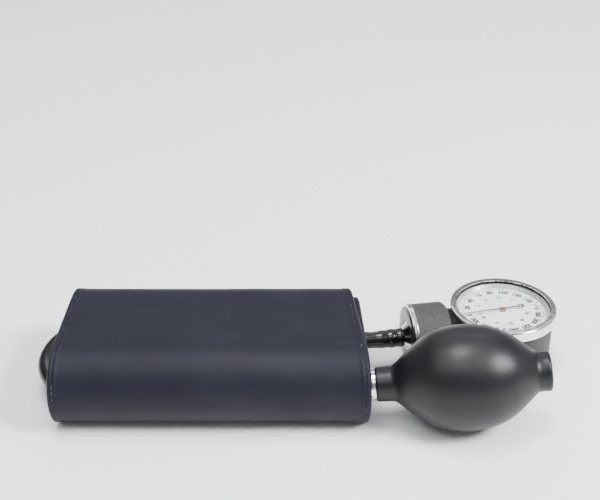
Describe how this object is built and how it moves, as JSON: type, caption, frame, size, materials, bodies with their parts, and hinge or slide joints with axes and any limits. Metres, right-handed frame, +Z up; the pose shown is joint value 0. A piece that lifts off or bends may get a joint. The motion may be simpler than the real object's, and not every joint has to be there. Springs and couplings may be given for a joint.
{
  "type": "blood pressure cuff",
  "caption": "Rolled nylon arm cuff with hoses to a round aneroid pressure gauge and a rubber hand bulb with release valve.",
  "frame": {"origin": "centre of the footprint, on the surface the set lies on", "axes": "+Z up out of the dial, +X from the rolled cuff to the gauge and bulb, -Y towards the bulb's side"},
  "size_m": [0.254, 0.1044, 0.0492],
  "materials": {
    "nylon": "satin woven nylon",
    "hook_tape": "matte hook tape",
    "loop_tape": "brushed loop tape",
    "bladder_rubber": "smooth",
    "hose_rubber": "glossy",
    "bulb_rubber": "matte",
    "seal_rubber": "smooth",
    "grey_paint": "fine textured",
    "black_paint": "satin",
    "chrome": "polished",
    "glass": "clear",
    "dial_white": "satin",
    "dial_ring_silver": "satin",
    "needle_black": "satin",
    "brass": "turned",
    "bronze": "rolled",
    "steel": "ground",
    "black_plastic": "moulded"
  },
  "bodies": {
    "cuff_gauge_and_bulb": {"cuff_sleeve": "nylon", "bladder": "bladder_rubber", "loop_patch": "loop_tape", "gauge_hose_port": "bladder_rubber", "bulb_hose_port": "bladder_rubber", "gauge_hose": "hose_rubber", "bulb_hose": "hose_rubber", "gauge_case": "grey_paint", "bezel": "chrome", "crystal": "glass", "crystal_gasket": "seal_rubber", "dial_ring": "dial_ring_silver", "dial": "dial_white", "neck": "black_paint", "grip_housing": "grey_paint", "end_disc": "chrome", "hose_nipple": "chrome", "diaphragm_capsule": "bronze", "nipple_seal": "seal_rubber", "bottom_plate": "brass", "top_plate": "brass", "movement_pillars": "brass", "movement_screws": "steel", "hairspring": "bronze", "spring_stud": "brass", "dial_bush": "brass", "bulb": "bulb_rubber", "inlet_valve_body": "black_plastic", "inlet_retainer": "steel", "inlet_filter": "steel", "release_valve_body": "chrome", "outlet_seat": "brass", "spindle_seal": "seal_rubber"},
    "flap": {"cuff_flap": "nylon", "hook_patch": "hook_tape"},
    "sector": {"sector_gear": "brass", "sector_pin": "steel"},
    "pointer": {"pinion": "brass", "spring_collet": "brass", "needle": "needle_black", "needle_hub": "brass"},
    "rod": {"push_rod": "steel"},
    "spindle": {"valve_spindle": "steel"},
    "knob": {"release_knob": "chrome"},
    "inlet_ball": {"inlet_ball": "steel"},
    "outlet_ball": {"outlet_ball": "steel"}
  },
  "joints": [
    {"name": "flap_peel", "type": "hinge", "parent": "cuff_gauge_and_bulb", "child": "flap", "pos_m": [-0.0497, 0.0216, 0.0387], "axis": [1, 0, 0], "range_deg": [0, 110]},
    {"name": "sector_swing", "type": "hinge", "parent": "cuff_gauge_and_bulb", "child": "sector", "pos_m": [0.07756, 0.02603, 0.0163], "axis": [0, 0, 1], "range_deg": [0, 34.2]},
    {"name": "needle_turn", "type": "hinge", "parent": "cuff_gauge_and_bulb", "child": "pointer", "pos_m": [0.0941, 0.02595, 0.0163], "axis": [0, 0, 1], "range_deg": [-342, 0]},
    {"name": "rod_push", "type": "slide", "parent": "cuff_gauge_and_bulb", "child": "rod", "axis": [0.9848, 0.1736, 0], "range_m": [0, 0.0017]},
    {"name": "knob_turn", "type": "hinge", "parent": "spindle", "child": "knob", "pos_m": [0.01662, -0.02595, 0.01826], "axis": [0.0349, 0.9994, 0], "range_deg": [0, 540]},
    {"name": "valve_lift", "type": "slide", "parent": "cuff_gauge_and_bulb", "child": "spindle", "axis": [0.0349, 0.9994, 0], "range_m": [0, 0.00075]},
    {"name": "inlet_ball_lift", "type": "slide", "parent": "cuff_gauge_and_bulb", "child": "inlet_ball", "axis": [-0.9919, 0.0346, -0.1219], "range_m": [0, 0.002]},
    {"name": "outlet_ball_lift", "type": "slide", "parent": "cuff_gauge_and_bulb", "child": "outlet_ball", "axis": [-0.9919, 0.0346, -0.1219], "range_m": [0, 0.0012]}
  ],
  "couplings": [
    {"joint": "needle_turn", "follows": "sector_swing", "ratio": -10},
    {"joint": "rod_push", "follows": "sector_swing", "m_per_rad": 0.0028},
    {"joint": "knob_turn", "follows": "valve_lift", "rad_per_m": 12566}
  ]
}
